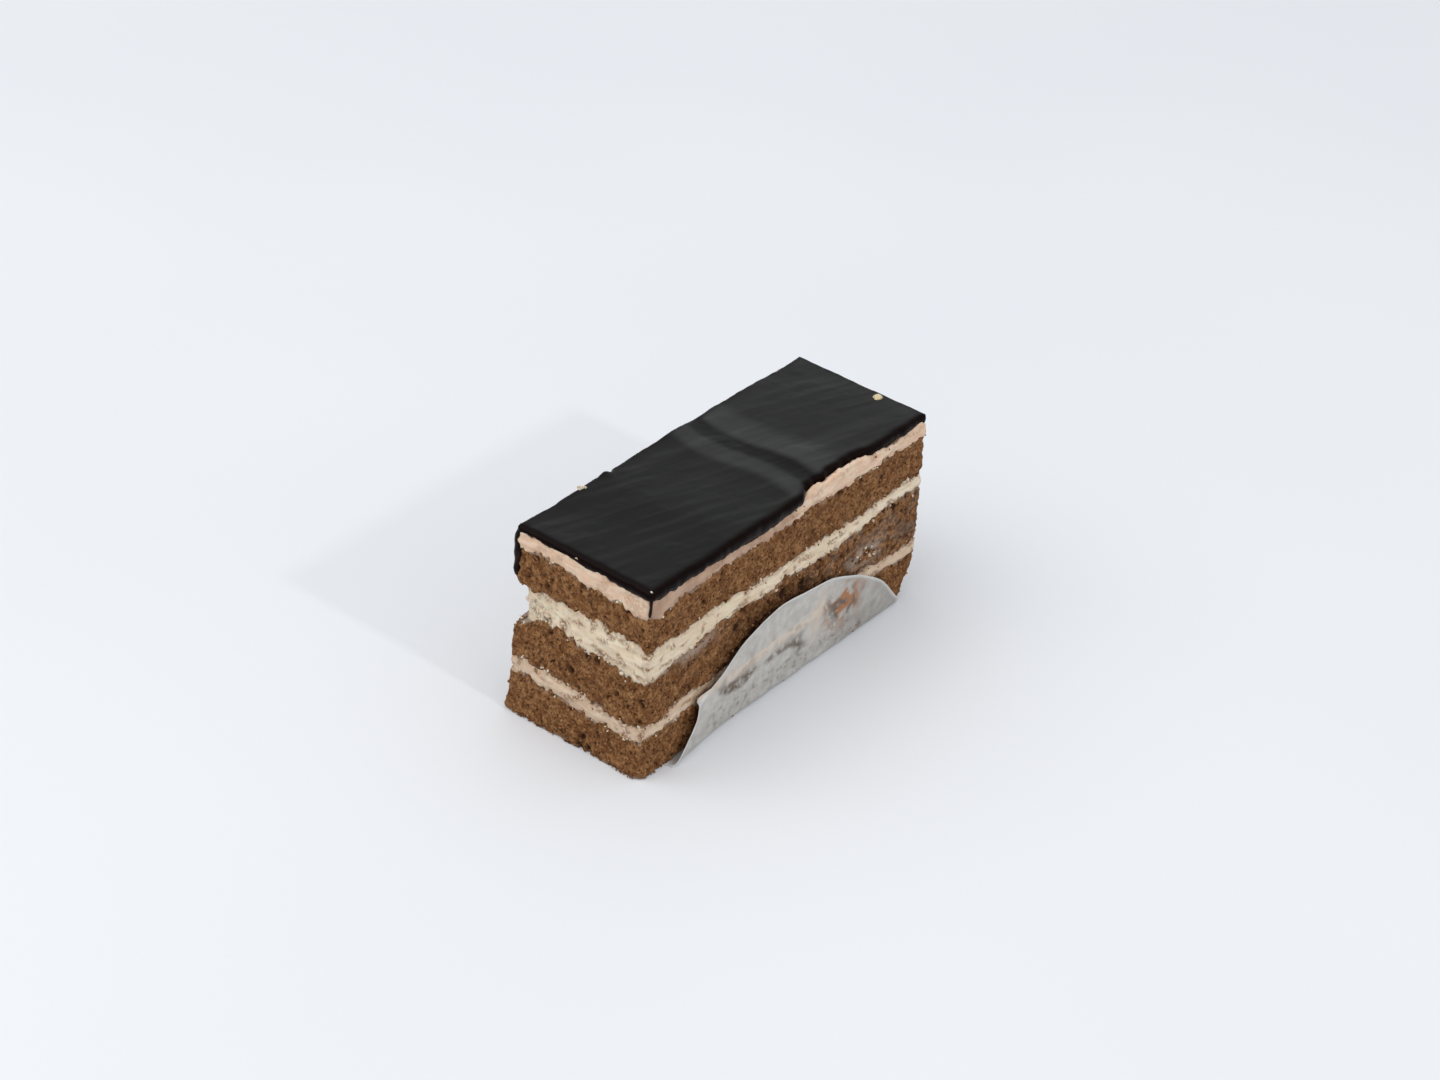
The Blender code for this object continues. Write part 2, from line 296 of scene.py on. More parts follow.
class Shade:
    """A socket of a material's node tree, which sums can be written with."""

    def __init__(self, recipe, socket):
        self.recipe = recipe
        self.socket = socket

    def maths(self, operation, first, second):
        return self.recipe.node("ShaderNodeMath", {"operation": operation}, {0: first, 1: second})

    def __add__(self, other):
        return self.maths("ADD", self, other)

    def __sub__(self, other):
        return self.maths("SUBTRACT", self, other)

    def __rsub__(self, other):
        return self.maths("SUBTRACT", other, self)

    def __mul__(self, other):
        return self.maths("MULTIPLY", self, other)

    __radd__ = __add__
    __rmul__ = __mul__

    def at_most(self, limit):
        return self.maths("MINIMUM", self, limit)

    def between(self, low, high):
        """0 below low and 1 above high, with soft ends. low may lie above high."""
        settings = {"interpolation_type": "SMOOTHSTEP"}
        sockets = {"Value": self, "From Min": low, "From Max": high}
        return self.recipe.node("ShaderNodeMapRange", settings, sockets)


class Recipe:
    """One material: its name, its Principled shader and the nodes that feed it."""

    def __init__(self, name):
        self.material = bpy.data.materials.new(name)
        self.material.use_nodes = True
        self.tree = self.material.node_tree
        self.shader = self.tree.nodes["Principled BSDF"]
        self.place = self.node("ShaderNodeTexCoord", output="Object")

    def node(self, kind, settings=None, sockets=None, output=0):
        made = self.tree.nodes.new(kind)
        for name, value in (settings or {}).items():
            setattr(made, name, value)
        for key, value in (sockets or {}).items():
            self.feed(made.inputs[key], value)
        return Shade(self, made.outputs[output])

    def feed(self, socket, value):
        if isinstance(value, Shade):
            self.tree.links.new(value.socket, socket)
        elif isinstance(value, tuple) and len(value) == 3 and socket.type == "RGBA":
            socket.default_value = (*value, 1)
        else:
            socket.default_value = value

    def surface(self, **values):
        """Sets or links the shader's sockets, named with underscores for spaces."""
        for name, value in values.items():
            self.feed(self.shader.inputs[name.replace("_", " ")], value)

    def attribute(self, name):
        """A mark that the mesh carries at its vertices."""
        return self.node("ShaderNodeAttribute", {"attribute_name": name}, output="Fac")

    def noise(self, size, detail=2.0, place=None, roughness=0.5):
        """Noise from 0 to 1, with lumps of about a given size."""
        sockets = {"Vector": place or self.place, "Scale": 1 / size}
        sockets |= {"Detail": detail, "Roughness": roughness}
        return self.node("ShaderNodeTexNoise", None, sockets)

    def stretched(self, sizes, place=None):
        """A place, or else Object coordinates, divided by a size for each axis."""
        sockets = {0: place or self.place, 1: tuple(1 / size for size in sizes)}
        return self.node("ShaderNodeVectorMath", {"operation": "MULTIPLY"}, sockets)

    def turned(self, angle):
        """Object coordinates turned about Z."""
        sockets = {"Vector": self.place, "Angle": angle}
        return self.node("ShaderNodeVectorRotate", {"rotation_type": "Z_AXIS"}, sockets)

    def mix(self, share, first, second):
        return self.node("ShaderNodeMix", {"data_type": "RGBA"}, {0: share, 6: first, 7: second}, output=2)

    def bump(self, height, distance, strength=1.0, normal=None):
        sockets = {"Height": height, "Distance": distance, "Strength": strength}
        if normal:
            sockets["Normal"] = normal
        return self.node("ShaderNodeBump", None, sockets)


# Finishes

CRUMB_BROWN = (0.170, 0.068, 0.022)
CRUMB_LIGHT = (0.310, 0.152, 0.061)
CRUMB_PALE = (0.460, 0.285, 0.145)
CRUMB_SHADE = (0.105, 0.040, 0.014)
# The dark of the pores: partly the crumb's own colour, partly painted shade in pores and holes, and the
# flap's painted shadow.
CRUMB_PORE_SHADE = (0.030, 0.011, 0.005)
FILM_GREY = (0.400, 0.335, 0.275)
# Each cream: its colour, and its colour where the knife drew it smooth.
LOWER_CREAM = ((0.62, 0.45, 0.31), (0.70, 0.55, 0.41))
MIDDLE_CREAM = ((0.71, 0.57, 0.405), (0.81, 0.695, 0.53))
TOP_CREAM = ((0.70, 0.48, 0.33), (0.78, 0.60, 0.45))
CREAM_FLECK = ((0.66, 0.53, 0.39), (0.76, 0.67, 0.54))
PALE_CRUMB = ((0.62, 0.52, 0.30), (0.78, 0.72, 0.52))
# Painted shade under the glaze's rim, in a tan tint, on the top cream's near -Y side.
UNDER_GLAZE_SHADE = (0.37, 0.225, 0.15)
DRAGGED_COCOA = (0.215, 0.105, 0.048)
GLAZE_BLACK = (0.0085, 0.0082, 0.0080)
# Painted sheen: the grey of the reflections on the knife's bands and streaks.
GLAZE_SHEEN = (0.057, 0.057, 0.057)
# Painted shade: the rolled rim and skirt, which catch less reflection than the top.
GLAZE_RIM_SHADE = (0.0045, 0.0012, 0.0008)
PAPER_GREY = (0.505, 0.482, 0.445)
PAPER_PALE = (0.612, 0.590, 0.555)
# Painted highlight along the flap's curled edge.
PAPER_HIGHLIGHT = (0.78, 0.79, 0.78)
STUCK_CREAM = (0.70, 0.60, 0.50)
STUCK_COCOA = (0.150, 0.108, 0.080)
STUCK_SYRUP = (0.40, 0.175, 0.070)
# What the meshes carry at their vertices for the finishes to read.
SPONGE_MARKS = ("hollow_and_shade", "film")
CREAM_MARKS = ("cocoa", "tan")
# The liner's edge mark is a painted highlight along the flap's outline.
LINER_MARKS = ("cream", "cocoa", "syrup", "clear", "edge")


def cocoa_sponge():
    """Torn cocoa crumb: brown, with pale crumbs, dark pores and holes whose darkness is partly painted
    shade, the flap's painted shadow, and a film of cream.
    """
    recipe = Recipe("cocoa_sponge")
    coarse = recipe.noise(0.0034, 3)
    medium = recipe.noise(0.0016, 3, roughness=0.6)
    fine = recipe.noise(0.0007, 3, roughness=0.65)
    hollow_and_shade = recipe.attribute("hollow_and_shade")
    film = recipe.attribute("film")
    colour = recipe.mix(medium.between(0.38, 0.66), CRUMB_BROWN, CRUMB_LIGHT)
    colour = recipe.mix(fine.between(0.57, 0.70) * 0.75, colour, CRUMB_PALE)
    colour = recipe.mix(coarse.between(0.48, 0.70) * 0.5, colour, CRUMB_SHADE)
    # Darkened by the mesh's mark: pores and holes partly as painted shade, and the flap's painted shadow.
    dark = (hollow_and_shade * 0.95 + fine.between(0.47, 0.34) * 0.8).at_most(0.94)
    colour = recipe.mix(dark, colour, CRUMB_PORE_SHADE)
    colour = recipe.mix(film * (0.5 + 0.7 * fine), colour, FILM_GREY)
    relief = recipe.bump(medium, 0.0006, 0.7, recipe.bump(fine, 0.0003, 0.7))
    recipe.surface(Base_Color=colour, Roughness=0.92, Specular_IOR_Level=0.15, Normal=relief)
    return recipe.material


def buttercream(name, colour, pale):
    """Soft cream, smeared by the knife, with cocoa dragged into it, and where marked, painted shade under
    the glaze's rim.
    """
    recipe = Recipe(name)
    cocoa = recipe.attribute("cocoa")
    drag = recipe.noise(1, 3, recipe.stretched((0.006, 0.006, 0.0011)))
    fine = recipe.noise(0.0007, 3)
    tint = recipe.mix(drag.between(0.35, 0.68), colour, pale)
    # Painted shade under the glaze's rim.
    tint = recipe.mix(recipe.attribute("tan") * 0.85, tint, UNDER_GLAZE_SHADE)
    tint = recipe.mix(cocoa * fine.between(0.30, 0.60), tint, DRAGGED_COCOA)
    relief = recipe.bump(drag, 0.0006, 0.55, recipe.bump(fine, 0.0003, 0.5))
    recipe.surface(
        Base_Color=tint, Roughness=0.55, Specular_IOR_Level=0.3, Normal=relief,
        Subsurface_Weight=0.2, Subsurface_Scale=0.001,
    )
    return recipe.material


def chocolate_glaze():
    """Dark glaze with painted sheen in cross bands and along the slanting streaks of the palette knife, and
    a rim painted near-black as painted shade.
    """
    recipe = Recipe("chocolate_glaze")
    slanting = recipe.turned(math.radians(18))
    streak = recipe.noise(1, 1, recipe.stretched((0.030, 0.0030, 0.01), slanting))
    cloud = recipe.noise(0.010, 2)
    band = recipe.attribute("band")
    # Painted sheen: the knife's bands and streaks greyed into the colour for their reflections.
    skin = band * (0.7 + 0.6 * streak) + 0.11 * streak.between(0.46, 0.72)
    colour = recipe.mix(skin, GLAZE_BLACK, GLAZE_SHEEN)
    # The rim mark paints the rolled rim and skirt near-black: painted shade, as they catch less reflection
    # than the top.
    colour = recipe.mix(recipe.attribute("rim"), colour, GLAZE_RIM_SHADE)
    recipe.surface(
        Base_Color=colour, Roughness=0.20 + 0.10 * cloud, Specular_IOR_Level=0.05,
        Normal=recipe.bump(streak * cloud.between(0.36, 0.60), 0.0006, 0.5),
    )
    return recipe.material


def greaseproof():
    """Thin grey-white liner paper with grease, cream and crumb stuck to it, and a painted highlight along
    its edge.
    """
    recipe = Recipe("greaseproof")
    cream, cocoa, syrup, clear, edge = (recipe.attribute(mark) for mark in LINER_MARKS)
    fibre = recipe.noise(0.0022, 3)
    smear = recipe.noise(0.0016, 2)
    wrinkle = recipe.noise(1, 2, recipe.stretched((0.007, 0.007, 0.004)))
    colour = recipe.mix(fibre.between(0.35, 0.7), PAPER_GREY, PAPER_PALE)
    colour = recipe.mix(cream, colour, STUCK_CREAM)
    colour = recipe.mix(syrup * smear.between(0.14, 0.44), colour, STUCK_SYRUP)
    colour = recipe.mix(cocoa * smear.between(0.20, 0.58), colour, STUCK_COCOA)
    # The edge mark is a painted highlight along the flap's curled outline.
    colour = recipe.mix(edge * 0.8, colour, PAPER_HIGHLIGHT)
    stuck = (cream + syrup + cocoa + edge).at_most(1.0)
    recipe.surface(
        Base_Color=colour, Roughness=0.45, Specular_IOR_Level=0.35,
        Alpha=0.92 - 0.42 * clear * (1 - 0.8 * stuck),
        Normal=recipe.bump(wrinkle, 0.0008, 0.6, recipe.bump(fibre, 0.00015, 0.4)),
    )
    return recipe.material


def loose_crumb():
    recipe = Recipe("loose_crumb")
    tone = recipe.noise(0.0015, 2)
    recipe.surface(
        Base_Color=recipe.mix(tone.between(0.35, 0.65), (0.12, 0.05, 0.02), (0.31, 0.16, 0.07)),
        Roughness=0.9, Specular_IOR_Level=0.2,
        Normal=recipe.bump(recipe.noise(0.0004, 2), 0.0002, 0.5),
    )
    return recipe.material


def glaze_drip():
    recipe = Recipe("glaze_drip")
    tone = recipe.noise(0.002, 2)
    recipe.surface(
        Base_Color=recipe.mix(tone.between(0.4, 0.6), (0.005, 0.0015, 0.001), (0.016, 0.005, 0.003)),
        Roughness=0.35, Specular_IOR_Level=0.08,
        Normal=recipe.bump(recipe.noise(0.0009, 2), 0.0003, 0.4),
    )
    return recipe.material


def table_top():
    recipe = Recipe("table_top")
    tone = recipe.noise(0.20, 1)
    recipe.surface(
        Base_Color=recipe.mix(tone.between(0.3, 0.7), (0.80, 0.82, 0.85), (0.82, 0.835, 0.86)),
        Roughness=0.6, Specular_IOR_Level=0.25,
    )
    return recipe.material


# Pieces

def add_piece(name, bm, material, slot, *nodes):
    """Moves a finished shape to the frame's place and hands it over, with the nodes that it replaces."""
    bmesh.ops.translate(bm, vec=SLICE_MIDDLE, verts=bm.verts)
    mesh = bpy.data.meshes.new(name)
    bm.to_mesh(mesh)
    bm.free()
    mesh.shade_smooth()
    mesh.materials.append(material)
    piece = bpy.data.objects.new(name, mesh)
    bpy.context.scene.collection.objects.link(piece)
    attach(piece, "root")
    if nodes:
        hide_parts(*nodes)


def vertices_of(made):
    """The vertices among the vertices, edges and faces that an operator returns."""
    return [item for item in made["geom"] if isinstance(item, bmesh.types.BMVert)]


def runs_along(edge, axis):
    step = edge.verts[1].co - edge.verts[0].co
    return abs(step[axis]) > 0.9 * step.length


def cut_block(step, rows, marks):
    """A block on the slice's outline, one unit high, with its wall in small cells.

    Returns the block, its wall's vertices and a layer for each of the marks that the finish reads.
    """
    bm = bmesh.new()
    layers = [bm.verts.layers.float.new(mark) for mark in marks]
    bmesh.ops.create_grid(bm, x_segments=1, y_segments=1, size=0.5)
    bmesh.ops.scale(bm, vec=(LENGTH, WIDTH, 1), verts=bm.verts)
    bmesh.ops.bevel(
        bm, geom=bm.verts, offset=CORNER_RADIUS, segments=CORNER_SEGMENTS, profile=0.5,
        affect="VERTICES", material=-1,
    )
    bmesh.ops.delete(bm, geom=bm.faces, context="FACES_ONLY")
    for axis, size in ((0, LENGTH), (1, WIDTH)):
        runs = [edge for edge in bm.edges if runs_along(edge, axis) and edge.calc_length() > size / 2]
        bmesh.ops.subdivide_edges(bm, edges=runs, cuts=round(size / step) - 1)
    raised = bmesh.ops.extrude_edge_only(bm, edges=bm.edges)
    bmesh.ops.translate(bm, vec=(0, 0, 1), verts=vertices_of(raised))
    uprights = [edge for edge in bm.edges if runs_along(edge, 2)]
    bmesh.ops.subdivide_edges(bm, edges=uprights, cuts=rows - 1, use_grid_fill=True)
    wall = set(bm.verts)
    for height in (0, 1):
        hem = [edge for edge in bm.edges if edge.is_boundary and round(edge.verts[0].co.z) == height]
        cap = bmesh.ops.edgeloop_fill(bm, edges=hem)["faces"][0]
        bmesh.ops.inset_individual(bm, faces=[cap], thickness=0)
        bmesh.ops.scale(bm, vec=(1 - 2 * RIM / LENGTH, 1 - 2 * RIM / WIDTH, 1), verts=cap.verts)
    bmesh.ops.recalc_face_normals(bm, faces=bm.faces)
    return bm, wall, layers


def lay_between(bm, wall, layers, under, over, finish):
    """Carries a unit block to its place between two seams.

    finish gives each vertex of the wall its torn or smeared place and its marks.
    Returns the wall's places, for the crumbs that stick to it, in an order that is the same each run.
    """
    skin = []
    heights = {}
    for vertex in bm.verts:
        x, y, share = vertex.co
        if (x, y) not in heights:
            heights[x, y] = under(x, y), over(x, y)
        low, high = heights[x, y]
        place = Vector((x, y, low + share * (high - low)))
        if vertex in wall:
            place, values = finish(place, share)
            for layer, value in zip(layers, values):
                vertex[layer] = value
            skin.append((settled(place), share))
        vertex.co = settled(place)
    return sorted(skin, key=lambda item: [round(value, 6) for value in item[0]])


def surface_of(seam, lift=0.0):
    """A seam's ragged height as a function of the place on the plan."""
    return lambda x, y: ragged_seam(seam, x, y) + lift


def pore(place, size, common):
    """1 in the middle of a round pore and 0 outside. common is the share of the cells that have one."""
    distances, points = noise.voronoi(place / size)
    luck = chance(points[0])
    if luck > common:
        return 0.0
    radius = 0.20 + 0.30 * luck / common
    return ease(1.3 * (1 - distances[0] / radius))


def broken_corner(x, y):
    """What is missing at the upright edge between the near end and the +Y side."""
    return Vector((1, -1, 0)) * BROKEN_DEPTH * bell(x + LENGTH / 2, 0.010) * bell(y - WIDTH / 2, 0.010)


def cream_film(place):
    """How thickly the knife left cream on the middle sponge's -Y side."""
    if place.y > 0:
        return 0.0
    along = place.x + LENGTH / 2
    rough = speckle(place, 0.0040)
    haze = rise(along, 0.060, 0.012) * rise(place.z, 0.016, 0.006) * 0.17
    smears = 0.8 * in_patch(NEAR_SMEAR, along, place.z) + 1.2 * in_patch(FAR_SMEAR, along, place.z)
    return clamp(haze * rise(rough, 0.36, 0.25) + smears * rise(rough, 0.30, 0.2))


def dug_out(place):
    """The three deep holes in the middle sponge's -Y side, which are also darkened with painted shade."""
    if place.y > 0:
        return 0.0
    return max(in_patch(hole, place.x + LENGTH / 2, place.z) for hole in DEEP_HOLES)


def flap_shadow(place):
    """How dark the middle sponge's -Y side is painted just above the liner's flap: the flap's painted
    shadow.
    """
    along = place.x + LENGTH / 2
    if place.y > 0 or not FLAP_SHADOW_STRETCH.start < along < FLAP_SHADOW_STRETCH.end:
        return 0.0
    near_flap = ease(1 - (place.z - flap_height(place.x)) / 0.0065)
    return 0.35 * in_stretch(FLAP_SHADOW_STRETCH, along) * near_flap * (0.6 + 0.7 * speckle(place, 0.003))


def far_darkening(place):
    """How much darker the far half of the middle sponge's -Y side is made, in speckled spots."""
    if place.y >= 0:
        return 0.0
    return 0.6 * rise(place.x, 0.002, 0.014) * rise(speckle(place, 0.0015), 0.54, 0.12)


def crumb_finish(filmed, damage):
    """The torn face of a cut sponge: long waves, torn crumb and pores of several sizes.

    filmed is for the middle sponge, which has the film of cream, the deep holes, the painted shadow of the
    liner's flap and the darker places.
    """
    def finish(place, share):
        coat = cream_film(place) if filmed else 0.0
        hole = dug_out(place) if filmed else 0.0
        dark = flap_shadow(place) + far_darkening(place) if filmed else 0.0
        open_crumb = 1 - 0.75 * coat
        bent = place + 0.0007 * noise.noise_vector(place / 0.0014)
        wide = pore(bent, 0.0032, 0.30)
        small = pore(bent + Vector((0.5, 0.5, 0.5)), 0.0015, 0.60)
        grain = noise.fractal(place / 0.0015, 0.8, 2.1, 4)
        depth = 0.0005 * speckle(place, 0.013) + 0.0008 * speckle(place, 0.0038) - 0.0006
        depth += open_crumb * (0.0011 * wide + 0.0006 * small + 0.00035 * grain) + 0.0012 * hole
        depth += 0.0003 * near_edge(place.x, place.y) * speckle(place, 0.0016)
        depth += 0.0003 * at_seams(share, 9)
        dragged = Vector((place.x, place.y, 3 * place.z))
        seam_smear = at_seams(share, 11) * rise(speckle(dragged, 0.0026), 0.52, 0.10)
        # How dark the crumb is painted: pores partly in painted shade, the deep holes' painted shade, the
        # flap's painted shadow and the far half's darkening.
        hollow_and_shade = clamp((1 - 0.4 * coat) * (0.95 * wide + 0.75 * small + 0.45 * clamp(grain)) + hole + dark)
        moved = place + inward(place.x, place.y) * depth
        if damage:
            moved = moved + damage(place)
        return moved, (hollow_and_shade, clamp(coat + 0.8 * seam_smear))
    return finish


def build_sponge(name, material, under, over, filmed=False, damage=None):
    rows = round((over.height - under.height) / CRUMB_STEP)
    bm, wall, layers = cut_block(CRUMB_STEP, rows, SPONGE_MARKS)
    skin = lay_between(bm, wall, layers, surface_of(under), surface_of(over), crumb_finish(filmed, damage))
    add_piece(name + "_crumb", bm, material, "sponge", name)
    return skin


def bottom_damage(place):
    """The far end crushed at the table, and a foot that spreads a little all round."""
    low = clamp(1 - place.z / 0.010)
    crushed = CRUSHED_DEPTH * low * rise(place.x, 0.036, 0.020) * (0.7 - 0.6 * place.y / WIDTH)
    spread = FOOT_SPREAD * clamp(1 - place.z / 0.006) * (0.5 + speckle(place, 0.003))
    return Vector((-crushed, 0, 0)) - inward(place.x, place.y) * spread


def middle_damage(place):
    """The broken corner of the middle sponge, which fades out down its edge."""
    return broken_corner(place.x, place.y) * rise(place.z, 0.023, 0.008)


def under_glaze_shade(place):
    """How much painted shade, in a tan tint, darkens the near half of the top cream's -Y side under the
    glaze's rim.
    """
    near_half = rise(-place.x, -0.004, 0.008) * rise(place.z, 0.044, 0.003)
    return near_half * rise(-place.y, 0.0195, 0.001) * (0.55 + 0.6 * speckle(place, 0.005))


def cream_finish(bulge, damage=None, soiled=1.0):
    """Cream dragged along by the knife.

    bulge is how far it stands out between its seams, and soiled how much of the sponges' cocoa it took up.
    """
    def finish(place, share):
        drawn = Vector((place.x, place.y, 3 * place.z))
        depth = 0.0010 * speckle(Vector((place.x, place.y, 2 * place.z)), 0.008) - 0.0003
        depth += 0.0010 * (speckle(drawn, 0.0030) - 0.5) + 0.0006 * (speckle(place, 0.0013) - 0.5)
        depth += 0.0003 * near_edge(place.x, place.y)
        depth -= bulge * math.sin(math.pi * share)
        stain = rise(speckle(drawn, 0.0050), 0.60, 0.14) * 0.75
        smudge = rise(speckle(place, 0.0026), 0.66, 0.08) * 0.7
        rubbed = 0.7 * at_seams(share, 4) * speckle(place, 0.0017) + 0.4 * near_edge(place.x, place.y)
        cocoa = clamp(soiled * (stain + smudge + rubbed))
        moved = place + inward(place.x, place.y) * depth
        if damage:
            moved = moved + damage(place)
        return moved, (cocoa, under_glaze_shade(place))
    return finish


def build_cream(name, material, under, over, bulge, damage=None):
    rows = round((over.height - under.height) / CREAM_STEP)
    bm, wall, layers = cut_block(CREAM_STEP, rows, CREAM_MARKS)
    finish = cream_finish(bulge, damage)
    skin = lay_between(bm, wall, layers, surface_of(under, -SEAM_LAP), surface_of(over, SEAM_LAP), finish)
    add_piece(name + "_layer", bm, material, "cream", name)
    return skin


def middle_cream_damage(place):
    """The broken corner of the middle cream, which is lumpy."""
    return broken_corner(place.x, place.y) * (0.8 + 0.5 * speckle(place, 0.004))


def cream_roof(x, y):
    """The top cream's upper surface, which stands up in lumps where the glaze stops short."""
    lump = 0.6 + 0.8 * speckle(Vector((x, y, 0)), 0.0035)
    edge = bell(y + WIDTH / 2 - 0.0007, 0.0012)
    return ragged_seam(GLAZE_UNDER, x, y) + 0.0016 * bare_strip(x) ** 2 * edge * lump


def build_top_cream(material):
    """The cream under the glaze. Its roof has rings of small cells, because it shows at the bare strip."""
    rows = 10
    rings = 18
    bm, wall, layers = cut_block(CREAM_STEP, rows, CREAM_MARKS)
    outline = {tuple(vertex.co.xy) for vertex in wall}
    top_edges = [edge for edge in bm.edges if min(vertex.co.z for vertex in edge.verts) > 0.999]
    spokes = [edge for edge in top_edges if len({vertex in wall for vertex in edge.verts}) == 2]
    bmesh.ops.subdivide_edges(bm, edges=spokes, cuts=rings - 1, use_grid_fill=True)
    wall = {vertex for vertex in bm.verts if tuple(vertex.co.xy) in outline}
    finish = cream_finish(0.0004, soiled=0.4)
    skin = lay_between(bm, wall, layers, surface_of(TOP_CREAM_UNDER, -SEAM_LAP), cream_roof, finish)
    roof = [vertex for vertex in bm.verts if vertex not in wall and vertex.co.z > 0.052]
    for vertex in roof:
        vertex[layers[0]] = 0.6 * rise(speckle(vertex.co, 0.0026), 0.58, 0.12)
        edge, _ = finish(Vector((vertex.co.x, -WIDTH / 2, vertex.co.z)), 1)
        vertex.co.y += (edge.y + WIDTH / 2) * clamp(1 - (vertex.co.y + WIDTH / 2) / 0.004)
    add_piece("cream_top_layer", bm, material, "cream", "cream_top")
    return skin


def round_plan(x, y):
    """Draws a place in the square plan into the plan with round corners."""
    beyond_x = abs(x) - (LENGTH / 2 - CORNER_RADIUS)
    beyond_y = abs(y) - (WIDTH / 2 - CORNER_RADIUS)
    if beyond_x <= 0 or beyond_y <= 0:
        return x, y
    shrink = max(beyond_x, beyond_y) / math.hypot(beyond_x, beyond_y)
    round_x = LENGTH / 2 - CORNER_RADIUS + beyond_x * shrink
    round_y = WIDTH / 2 - CORNER_RADIUS + beyond_y * shrink
    return math.copysign(round_x, x), math.copysign(round_y, y)


def glaze_shortfall(x, y):
    """How far the glaze's -Y edge is drawn back, torn in small steps."""
    torn = 0.7 + 0.6 * speckle(Vector((x, 0, 0)), 0.0030)
    reach = ease(1 - (y + WIDTH / 2) / 0.010)
    return GLAZE_SHORTFALL * bare_strip(x) * torn * reach


def glaze_edge_drift(x, y):
    """The uneven outline of the glaze's edge, with one small notch in the +Y edge."""
    place = Vector((x, y, 0.3))
    notch = NOTCH_DEPTH * bell(x - NOTCH_X, 0.0009) * ease(y / 0.020)
    return inward(x, y) * (0.0005 * speckle(place, 0.006) + 0.0003 * (speckle(place, 0.0018) - 0.5) + notch)


def sheen_band(x, y):
    """How much painted sheen greys the glaze's skin along the slice: the palette knife left waves across it,
    and their reflections are painted as bands.
    """
    sway = 0.0012 * math.sin(y * 170) + 0.0010 * (speckle(Vector((x, y, 0)), 0.006) - 0.5)
    u = (x + LENGTH / 2 + sway) * 1000
    for low, high in zip(SHEEN_BANDS, SHEEN_BANDS[1:]):
        if u < high[0]:
            return low[1] + (high[1] - low[1]) * ease((u - low[0]) / (high[0] - low[0]))
    return SHEEN_BANDS[-1][1]


def build_glaze(material):
    """The glaze: a fine grid for the top, rolled over at the rim, with a skirt down to the cream."""
    step = 0.0005
    skirt_rows = 5
    bm = bmesh.new()
    band = bm.verts.layers.float.new("band")
    rim_shade_mark = bm.verts.layers.float.new("rim")
    bmesh.ops.create_grid(bm, x_segments=round(LENGTH / step), y_segments=round(WIDTH / step), size=0.5)
    bmesh.ops.scale(bm, vec=(LENGTH, WIDTH, 1), verts=bm.verts)
    for _ in range(skirt_rows):
        rim = [edge for edge in bm.edges if edge.is_boundary]
        lowered = bmesh.ops.extrude_edge_only(bm, edges=rim)
        bmesh.ops.translate(bm, vec=(0, 0, -1), verts=vertices_of(lowered))
    bmesh.ops.edgeloop_fill(bm, edges=[edge for edge in bm.edges if edge.is_boundary])
    for vertex in bm.verts:
        down = -vertex.co.z / skirt_rows
        x, y = round_plan(vertex.co.x, vertex.co.y)
        inset = min(LENGTH / 2 - abs(x), WIDTH / 2 - abs(y))
        rolled = clamp(1 - inset / ROLL_WIDTH)
        top = glaze_top(x, y) - ROLL_DROP * (1 - math.sqrt(1 - 0.97 * rolled ** 3))
        hem = seam_height(GLAZE_UNDER, x, y) - 0.0007 + 0.0014 * (speckle(Vector((x, y, 0)), 0.0045) - 0.5)
        hem += 0.0008 * (speckle(Vector((x, y, 0.1)), 0.0015) - 0.5)
        drift = glaze_edge_drift(x, y) * (1 - ease(inset / 0.004))
        tuck = inward(x, y) * (0.0002 * down ** 2 - 0.0003 * math.sin(math.pi * down) - 0.0003)
        torn_y = y + glaze_shortfall(x, y)
        # The painted sheen of the knife's bands.
        vertex[band] = sheen_band(x, torn_y)
        # Painted shade on the rolled rim and the skirt.
        vertex[rim_shade_mark] = max(ease(rolled * 1.25), ease(down * 3))
        vertex.co = settled(Vector((x, torn_y, top + (hem - top) * down)) + drift + tuck)
    bmesh.ops.recalc_face_normals(bm, faces=bm.faces)
    add_piece("glaze_sheet", bm, material, "glaze", "glaze")


# The liner

LINER_THICKNESS = 0.0002
FOLD_RADIUS = 0.0012
# A flap's height, where it is highest, and how far it bellies and flares off the slice.
FLAP_TOP = 0.0274
FLAP_PEAK_X = -0.004
FLAP_BULGE = 0.0006
FLAP_FLARE = 0.0018
# The share of the flap's height that is kept, so that its two ends don't meet in a point.
FLAP_KEPT = 0.992
# How far the sheet reaches past the flap's feet under the slice, and how far off its side the fold is.
NEAR_TONGUE = 0.002
FAR_TONGUE = 0.009
LINER_GAP = 0.0006
# The flap's two ends in millimetres: (height, distance from the slice's near end).
FLAP_NEAR = (
    (0, 9.3), (3, 13.0), (5.4, 15.6), (8.7, 18.6), (12.2, 19.6), (14.2, 19.5), (15.9, 23.8), (18.0, 28.6),
    (21.3, 33.2), (23.4, 36.3), (26.0, 42.4), (27.0, 47.5), (27.4, 52.0),
)
FLAP_FAR = (
    (0, 107.0), (2.8, 105.0), (11.7, 97.0), (16.5, 90.0), (19.9, 84.0), (24.0, 74.2), (25.9, 65.6),
    (27.0, 57.0), (27.4, 52.0),
)
